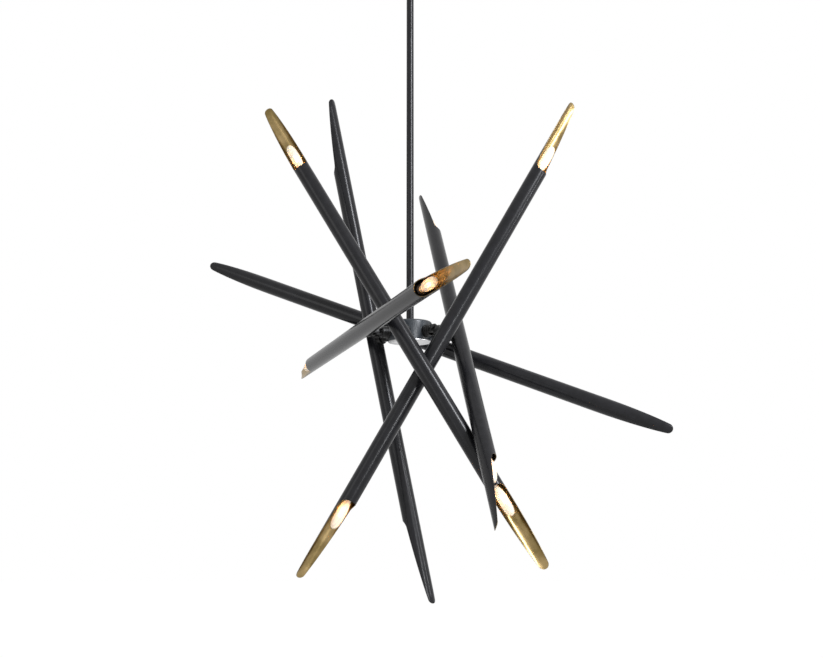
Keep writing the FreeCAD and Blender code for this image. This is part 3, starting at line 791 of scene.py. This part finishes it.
@dataclass
class QuillTube:
    """One long tube, its ends cut open like a quill.

    Attributes:
        pose: How it hangs.
        length: Tip to tip.
        radius: Outer radius.
        wall: Wall thickness.
        cut_length: Notch to tip.
        curve_run: Length of the cut's curve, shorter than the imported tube's 55 mm.
        blade: Height left over the back where the curve ends.
        tip: Height left over the back at the tip.
        tip_half: Half the width of the round tip.
        tip_depth: Length of the round tip.
        sides: Sides round the tube.
        rows: Rows of faces along each cut end.
        straight_rows: Rows of faces along the uncut middle.
    """

    pose: TubePose
    length: float = 1263.0
    radius: float = 19.05
    wall: float = 1.5
    cut_length: float = 196.0
    curve_run: float = 20.0
    blade: float = 18.7
    tip: float = 2.6
    tip_half: float = 10.5
    tip_depth: float = 7.8
    sides: int = 144
    rows: int = 10
    straight_rows: int = 8

    def _curve(self) -> tuple[Vector, float]:
        """Centre and radius of the cut's curve, in (side, height past the notch) coordinates."""
        start = Vector((self.radius, 0.0))
        end = Vector((self.blade - self.radius, self.curve_run))
        tip = Vector((self.tip - self.radius, self.cut_length))
        along = (tip - end).normalized()
        inward = Vector((along.y, -along.x))
        chord = start - end
        radius = chord.length_squared / (2 * inward.dot(chord))
        return end + inward * radius, radius

    def cut_height(self, x: float, y: float) -> float:
        """How far the wall reaches at one place round the tube.

        Args:
            x: Place towards the open side.
            y: Place across.

        Returns:
            The height from the tube's middle, in millimetres.
        """
        half = self.length / 2
        notch = half - self.cut_length
        blade_x = self.blade - self.radius
        tip_x = self.tip - self.radius
        if x > blade_x:
            centre, radius = self._curve()
            height = notch + centre.y - math.sqrt(max(radius**2 - (x - centre.x) ** 2, 0.0))
        elif x > tip_x:
            share = (blade_x - x) / (blade_x - tip_x)
            height = notch + self.curve_run + share * (self.cut_length - self.curve_run)
        else:
            height = half
        reach, depth = self.tip_half, self.tip_depth
        tip_radius = (reach**2 + depth**2) / (2 * depth)
        across = abs(y)
        if across <= reach:
            limit = half - tip_radius + math.sqrt(tip_radius**2 - across**2)
        else:
            limit = half - depth - (across - reach) * reach / (tip_radius - depth)
        return min(height, limit)

    def shell(self) -> Shaper:
        """Shape the outer skin: a bare cylinder whose rows follow the cuts at both ends.

        Returns:
            The skin, with its wall not yet thick.
        """
        half = self.length / 2
        straight = half - self.cut_length - self.radius
        piece = Shaper.cylinder(
            f"quill_tube_{self.pose.number}", self.radius, self.length, self.sides, capped=False
        )
        bpy.ops.object.mode_set(mode="EDIT")
        marks = [straight * (2 * i / self.straight_rows - 1) for i in range(self.straight_rows + 1)]
        marks += [side * (straight + i) for side in (-1, 1) for i in range(1, self.rows)]
        for height in marks:
            bpy.ops.mesh.select_all(action="SELECT")
            bpy.ops.mesh.bisect(plane_co=(0, 0, height * MM), plane_no=(0, 0, 1))
        bpy.ops.object.mode_set(mode="OBJECT")
        for vertex in piece.obj.data.vertices:
            x, y, z = (value / MM for value in vertex.co)
            if abs(z) <= straight + 0.5:
                continue
            row = self.rows if abs(z) > half - 1 else abs(z) - straight
            end = self.cut_height(x, y)
            vertex.co.z = math.copysign(straight + (end - straight) * row / self.rows, z) * MM
        return piece

    def build(self) -> None:
        """Give the skin its wall, gold leaf inside, and a rim that is part gold, part bare."""
        piece = self.shell()
        wall = piece.obj.modifiers.new("step", "SOLIDIFY")
        wall.thickness = self.wall * MM
        wall.offset = -1.0
        wall.use_even_offset = False
        wall.use_quality_normals = True
        wall.material_offset = 1
        wall.material_offset_rim = 2
        for finish in (SATIN_BLACK, GOLD_LEAF, CUT_RIM):
            piece.obj.data.materials.append(finish.material())
        piece.select()
        bpy.ops.object.modifier_apply(modifier=wall.name)
        piece.soften(0.25, 2, 50)
        piece.move(self.pose.tube_frame())
        number = self.pose.number
        piece.finish(f"tube_unit_{number}", "tube", replaces=[f"light_tube_{number}"], smooth=30)


@dataclass
class Lamp:
    """Lampholder and bulb in one end of a tube.

    Attributes:
        pose: How the tube hangs.
        end: "upper" or "lower".
        mouth: Tube's middle to the holder's mouth.
        holder_radius: Radius of the holder's barrel.
        holder_length: Flange to mouth.
        holder_bore: Radius of the bore that takes the cap.
        flange_radius: Radius of the centring flange.
        flange: Thickness of the flange.
        cap_radius: Radius of the bulb's screw cap.
        cap_length: Length of the cap.
        thread_turns: Turns of its thread.
        bulb_radius: Radius of the glass at its widest.
        bulb_neck: Radius of its neck.
        bulb_length: Length of the glass.
        bulb_wall: Thickness of the glass.
        glow_power: Power of the light in the bulb, in watts.
        glow_colour: Linear colour of that light.
        glow_radius: Radius of that light.
        glow_place: Holder's mouth to that light.
    """

    pose: TubePose
    end: str
    mouth: float = 432.5
    holder_radius: float = 11.0
    holder_length: float = 46.0
    holder_bore: float = 6.5
    flange_radius: float = 17.55
    flange: float = 4.0
    cap_radius: float = 6.0
    cap_length: float = 22.0
    thread_turns: int = 6
    bulb_radius: float = 11.5
    bulb_neck: float = 6.3
    bulb_length: float = 74.0
    bulb_wall: float = 0.8
    glow_power: float = 0.03
    glow_colour: Colour = (1.0, 0.46, 0.12)
    glow_radius: float = 2.0
    glow_place: float = 26.0

    def frame(self) -> Matrix:
        """Frame of the lamp: Z towards the tube's tip, origin in the tube's middle."""
        turn = turn_x(0 if self.end == "upper" else 180)
        return self.pose.tube_frame() @ turn

    def tag(self) -> str:
        """The end of each piece's name."""
        return f"{self.end}_{self.pose.number}"

    def body(self) -> str:
        """The body that the lamp rides on."""
        return f"tube_unit_{self.pose.number}"

    def holder(self) -> None:
        """Spin the lampholder: flange, stepped barrel and mouth."""
        foot, mouth, radius = self.mouth - self.holder_length, self.mouth, self.holder_radius
        outline = [
            (0.0, foot),
            (self.flange_radius - 0.3, foot),
            (self.flange_radius, foot + 0.3),
            (self.flange_radius, foot + self.flange - 0.5),
            (self.flange_radius - 0.5, foot + self.flange),
            (radius, foot + self.flange + 1.0),
            (radius, mouth - 12),
            (radius - 0.9, mouth - 11),
            (radius - 0.9, mouth - 8),
            (radius, mouth - 7),
            (radius, mouth - 1.2),
            (radius - 1.2, mouth),
            (self.holder_bore + 0.4, mouth),
            (self.holder_bore, mouth - 0.4),
            (self.holder_bore, mouth - self.cap_length),
            (0.0, mouth - self.cap_length),
        ]
        piece = Shaper.lathe(f"lampholder_{self.tag()}", outline, 48).move(self.frame())
        name = f"lampholders_{self.pose.number}"
        piece.finish(self.body(), "holder", HOLDER_DARK, replaces=[name])

    def cap(self) -> None:
        """Spin the bulb's screw cap with its thread and contact."""
        base, radius = self.mouth - self.cap_length, self.cap_radius
        outline = [(0.0, base), (1.8, base), (2.5, base + 0.6), (2.5, base + 2.0)]
        outline += [(radius - 1.2, base + 2.6)]
        pitch = (self.cap_length - 8.0) / self.thread_turns
        for turn in range(self.thread_turns):
            height = base + 4.0 + turn * pitch
            outline += [(radius - 0.7, height), (radius, height + pitch / 2)]
        outline += [(radius - 0.7, self.mouth - 4.0), (radius - 0.2, self.mouth - 3.0)]
        outline += [(radius - 0.2, self.mouth), (0.0, self.mouth)]
        piece = Shaper.lathe(f"bulb_cap_{self.tag()}", outline, 40).move(self.frame())
        name = f"bulb_caps_{self.pose.number}"
        piece.finish(self.body(), "cap", BRIGHT_BRASS, replaces=[name], smooth=60)

    def _glass_outline(self, inset: float) -> list[Point]:
        """Outline of the glass from its neck to its end, drawn in by the inset.

        Args:
            inset: Distance inside the outer skin.

        Returns:
            The points, from neck to end.
        """
        full, neck, length = self.bulb_radius, self.bulb_neck, self.bulb_length
        points = []
        for step in range(25):
            share = step / 24
            swell = math.sin(min(share / 0.42, 1.0) * math.pi / 2) ** 1.4
            radius = neck + (full - neck) * swell
            if share > 0.6:
                fall = (share - 0.6) / 0.4
                radius = full * math.sqrt(max(1 - fall**2.6, 0.0))
            height = self.mouth + inset + share * (length - 2 * inset)
            points.append((max(radius - inset, 0.0), height))
        points[-1] = (0.0, points[-1][1])
        return points

    def glass(self) -> None:
        """Spin the glass as one thin closed wall."""
        outer = self._glass_outline(0.0)
        inner = self._glass_outline(self.bulb_wall)
        outline = outer + inner[::-1]
        piece = Shaper.lathe(f"bulb_glass_{self.tag()}", outline, 56).move(self.frame())
        name = f"bulb_glass_{self.pose.number}"
        piece.finish(self.body(), "bulb_glass", BULB_GLASS, replaces=[name], smooth=80)

    def filament(self) -> None:
        """Bend the glowing hairpins and their supports, and light the bulb."""
        for index, (width, turn) in enumerate(((7.0, 0), (6.0, 60), (6.5, 120))):
            self._hairpin(f"filament_{index + 1}_{self.tag()}", width, 20, 0.38, turn, 47, FILAMENT)
        self._hairpin(f"support_wires_{self.tag()}", 3.0, 22, 0.3, 30, 27, STEEL_WIRE)
        stem = [
            (0.0, self.mouth + 1.0),
            (4.2, self.mouth + 1.0),
            (3.6, self.mouth + 4.0),
            (2.2, self.mouth + 9.0),
            (2.0, self.mouth + 20.0),
            (1.2, self.mouth + 22.0),
            (0.0, self.mouth + 22.3),
        ]
        piece = Shaper.lathe(f"glass_stem_{self.tag()}", stem, 24).move(self.frame())
        piece.finish(self.body(), "bulb_glass", BULB_GLASS, smooth=60)
        lamp = bpy.data.lights.new(f"bulb_light_{self.tag()}", "POINT")
        lamp.energy = self.glow_power
        lamp.color = self.glow_colour
        lamp.shadow_soft_size = self.glow_radius * MM
        light = bpy.data.objects.new(lamp.name, lamp)
        bpy.context.scene.collection.objects.link(light)
        light.matrix_world = self.frame() @ slide(z=self.mouth + self.glow_place)
        light.visible_camera = light.visible_transmission = light.visible_glossy = False
        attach(light, self.body())

    def _hairpin(
        self, name: str, width: float, legs: float, wire: float, turn: float, top: float,
        finish: Finish | Glow,
    ) -> None:
        """Bend one wire into a hairpin: half a ring with two straight legs.

        Args:
            name: Name of the piece.
            width: Distance between its legs.
            legs: Length of its legs.
            wire: Radius of the wire.
            turn: Turn about the bulb's axis in degrees.
            top: Holder's mouth to the top of the bend.
            finish: Its material.
        """
        Shaper.clear()
        bpy.ops.mesh.primitive_circle_add(
            vertices=8, radius=wire * MM, fill_type="NOTHING", location=(width / 2 * MM, 0, 0)
        )
        piece = Shaper(name)
        piece.freeze()
        bpy.ops.object.mode_set(mode="EDIT")
        bpy.ops.mesh.select_all(action="SELECT")
        bpy.ops.mesh.spin(
            steps=12, angle=-math.pi, center=(0, 0, 0), axis=(0, 1, 0), use_auto_merge=False
        )
        bpy.ops.mesh.select_mode(type="VERT")
        bpy.ops.mesh.select_all(action="DESELECT")
        bpy.ops.object.mode_set(mode="OBJECT")
        for vertex in piece.obj.data.vertices:
            vertex.select = abs(vertex.co.z) < 1e-6
        bpy.ops.object.mode_set(mode="EDIT")
        bpy.ops.mesh.extrude_region_move(TRANSFORM_OT_translate={"value": (0, 0, -legs * MM)})
        bpy.ops.mesh.edge_face_add()
        bpy.ops.mesh.select_all(action="SELECT")
        bpy.ops.mesh.normals_make_consistent(inside=False)
        bpy.ops.object.mode_set(mode="OBJECT")
        piece.move(self.frame() @ slide(z=self.mouth + top - width / 2) @ turn_z(turn))
        piece.finish(self.body(), "bulb_glass" if finish is FILAMENT else "cap", finish, smooth=80)

    def build(self) -> None:
        """Make the whole lamp."""
        self.holder()
        self.cap()
        self.glass()
        self.filament()


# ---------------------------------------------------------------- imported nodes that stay


class PackedNodes:
    """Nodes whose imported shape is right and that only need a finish."""

    finishes = {
        "ceiling_crossbar": ZINC,
        "ground_screw": GREEN_PLATE,
        "canopy_nipple": ZINC,
        "crossbar_locknut": ZINC,
        "stem_foot_nipple": ZINC,
        "stem_locknut": ZINC,
        "hub_cover_screws": BRUSHED_NICKEL,
        "hub_terminal_block": TERMINAL_IVORY,
    }

    def build(self, nodes: dict[str, bpy.types.Object]) -> None:
        """Dress each node.

        Args:
            nodes: The frame's nodes by name.
        """
        for name, finish in self.finishes.items():
            mesh = nodes[name].data
            mesh.materials.clear()
            mesh.materials.append(finish.material())
            LOG.info("%s keeps its packed shape", name)


# ---------------------------------------------------------------- studio


@dataclass(frozen=True)
class Softbox:
    """A rectangular lamp that faces the hub.

    Attributes:
        name: Its name.
        azimuth: Degrees to the right of the camera's side.
        elevation: Degrees above the hub.
        distance: Distance from the hub in metres.
        size: Width and height in metres.
        power: Power in watts.
        colour: Linear colour.
    """

    name: str
    azimuth: float
    elevation: float
    distance: float
    size: Point
    power: float
    colour: Colour = (1.0, 1.0, 1.0)

    def build(self, aim: Vector) -> None:
        """Hang the lamp.

        Args:
            aim: The point that it faces.
        """
        lamp = bpy.data.lights.new(self.name, "AREA")
        lamp.shape = "RECTANGLE"
        lamp.size, lamp.size_y = self.size
        lamp.energy = self.power
        lamp.color = self.colour
        light = bpy.data.objects.new(self.name, lamp)
        bpy.context.scene.collection.objects.link(light)
        azimuth, elevation = math.radians(self.azimuth), math.radians(self.elevation)
        away = Vector(
            (
                math.sin(azimuth) * math.cos(elevation),
                -math.cos(azimuth) * math.cos(elevation),
                math.sin(elevation),
            )
        )
        light.location = aim + away * self.distance
        light.rotation_mode = "QUATERNION"
        light.rotation_quaternion = away.to_track_quat("Z", "Y")
        light.visible_camera = False


@dataclass
class Studio:
    """Camera, floor, world and lamps.

    Attributes:
        camera_place: Camera position in metres.
        heading: Degrees that the camera looks to the right of +Y.
        pitch: Degrees that it looks up.
        lens: Focal length for a 36 mm wide sensor.
        floor: Height of the floor in metres.
        ambient: Level of the world's light on the object.
        floor_white: Strength of the white that the floor shows where it is seen.
        floor_share: Share of that white, the rest being paint that takes the shadow.
        aim: Point that the softboxes face, the middle of the hub, in metres.
    """

    camera_place: tuple[float, float, float] = (-0.0358, -2.3853, -1.3181)
    heading: float = 0.94
    pitch: float = 9.48
    lens: float = 45.32
    floor: float = -2.6
    ambient: float = 0.55
    floor_white: float = 1.07
    floor_share: float = 0.9
    aim: tuple[float, float, float] = (0.0, 0.0, -0.93)
    softboxes: tuple[Softbox, ...] = field(
        default_factory=lambda: (
            Softbox("key_softbox", 45, 28, 2.8, (0.45, 1.5), 96, (0.93, 0.95, 1.0)),
            Softbox("front_softbox", 28, -7, 2.8, (0.28, 0.8), 20, (0.95, 0.97, 1.0)),
            Softbox("side_softbox", 72, 8, 2.8, (0.22, 1.2), 16, (0.95, 0.97, 1.0)),
            Softbox("left_fill", -48, 10, 3.2, (1.2, 1.6), 10),
        )
    )

    def camera(self) -> None:
        """Set the camera where the photographer stood."""
        data = bpy.data.cameras.new("camera")
        data.sensor_fit = "HORIZONTAL"
        data.sensor_width = 36.0
        data.lens = self.lens
        data.clip_start, data.clip_end = 0.05, 60.0
        camera = bpy.data.objects.new("camera", data)
        bpy.context.scene.collection.objects.link(camera)
        heading, pitch = math.radians(self.heading), math.radians(self.pitch)
        look = Vector(
            (
                math.sin(heading) * math.cos(pitch),
                math.cos(heading) * math.cos(pitch),
                math.sin(pitch),
            )
        )
        camera.location = self.camera_place
        camera.rotation_mode = "QUATERNION"
        camera.rotation_quaternion = look.to_track_quat("-Z", "Y")
        bpy.context.scene.camera = camera

    @staticmethod
    def _seen_rays(tree: bpy.types.NodeTree) -> bpy.types.NodeSocket:
        """A factor of 1 for rays that show the background: seen, mirrored or through glass.

        Args:
            tree: Node tree that gets the nodes.

        Returns:
            The output socket.
        """
        path = tree.nodes.new("ShaderNodeLightPath")
        first = tree.nodes.new("ShaderNodeMath")
        first.operation = "MAXIMUM"
        second = tree.nodes.new("ShaderNodeMath")
        second.operation = "MAXIMUM"
        tree.links.new(path.outputs["Is Camera Ray"], first.inputs[0])
        tree.links.new(path.outputs["Is Glossy Ray"], first.inputs[1])
        tree.links.new(first.outputs[0], second.inputs[0])
        tree.links.new(path.outputs["Is Transmission Ray"], second.inputs[1])
        return second.outputs[0]

    def world(self) -> None:
        """White where it is seen, and a plain grey light on the object."""
        world = bpy.data.worlds.new("studio_world")
        world.use_nodes = True
        tree = world.node_tree
        seen = tree.nodes["Background"]
        seen.inputs["Color"].default_value = (1, 1, 1, 1)
        seen.inputs["Strength"].default_value = 1.0
        fill = tree.nodes.new("ShaderNodeBackground")
        fill.inputs["Color"].default_value = (1, 1, 1, 1)
        fill.inputs["Strength"].default_value = self.ambient
        mix = tree.nodes.new("ShaderNodeMixShader")
        tree.links.new(self._seen_rays(tree), mix.inputs["Fac"])
        tree.links.new(fill.outputs[0], mix.inputs[1])
        tree.links.new(seen.outputs[0], mix.inputs[2])
        tree.links.new(mix.outputs[0], tree.nodes["World Output"].inputs["Surface"])
        bpy.context.scene.world = world

    def lay_floor(self) -> None:
        """Lay a pale floor that still takes the object's shadow."""
        Shaper.clear()
        bpy.ops.mesh.primitive_plane_add(size=30, location=(0, 0, self.floor))
        floor = bpy.context.object
        floor.name = "floor"
        paint = bpy.data.materials.new("floor_paint")
        paint.use_nodes = True
        tree = paint.node_tree
        shader = tree.nodes["Principled BSDF"]
        shader.inputs["Base Color"].default_value = (0.86, 0.86, 0.86, 1)
        shader.inputs["Roughness"].default_value = 0.9
        shader.inputs["Specular IOR Level"].default_value = 0.0
        white = tree.nodes.new("ShaderNodeEmission")
        white.inputs["Strength"].default_value = self.floor_white
        share = tree.nodes.new("ShaderNodeMath")
        share.operation = "MULTIPLY"
        share.inputs[1].default_value = self.floor_share
        mix = tree.nodes.new("ShaderNodeMixShader")
        tree.links.new(self._seen_rays(tree), share.inputs[0])
        tree.links.new(share.outputs[0], mix.inputs["Fac"])
        tree.links.new(shader.outputs[0], mix.inputs[1])
        tree.links.new(white.outputs[0], mix.inputs[2])
        tree.links.new(mix.outputs[0], tree.nodes["Material Output"].inputs["Surface"])
        floor.data.materials.append(paint)

    def build(self) -> None:
        """Set up the whole studio."""
        self.camera()
        self.world()
        self.lay_floor()
        for softbox in self.softboxes:
            softbox.build(Vector(self.aim))
        bpy.context.scene.view_settings.view_transform = "Standard"


# ---------------------------------------------------------------- the whole scene


def main() -> None:
    """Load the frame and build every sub-assembly in order."""
    logging.basicConfig(level=logging.INFO, format="%(message)s")
    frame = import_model()
    Studio().build()
    PackedNodes().build(frame["nodes"])
    CeilingFitting().build()
    Stem().build()
    Hub().build(POSES)
    for pose in POSES:
        Knuckle(pose).build()
        QuillTube(pose).build()
        for end in ("upper", "lower"):
            Lamp(pose, end).build()


if __name__ == "__main__":
    main()
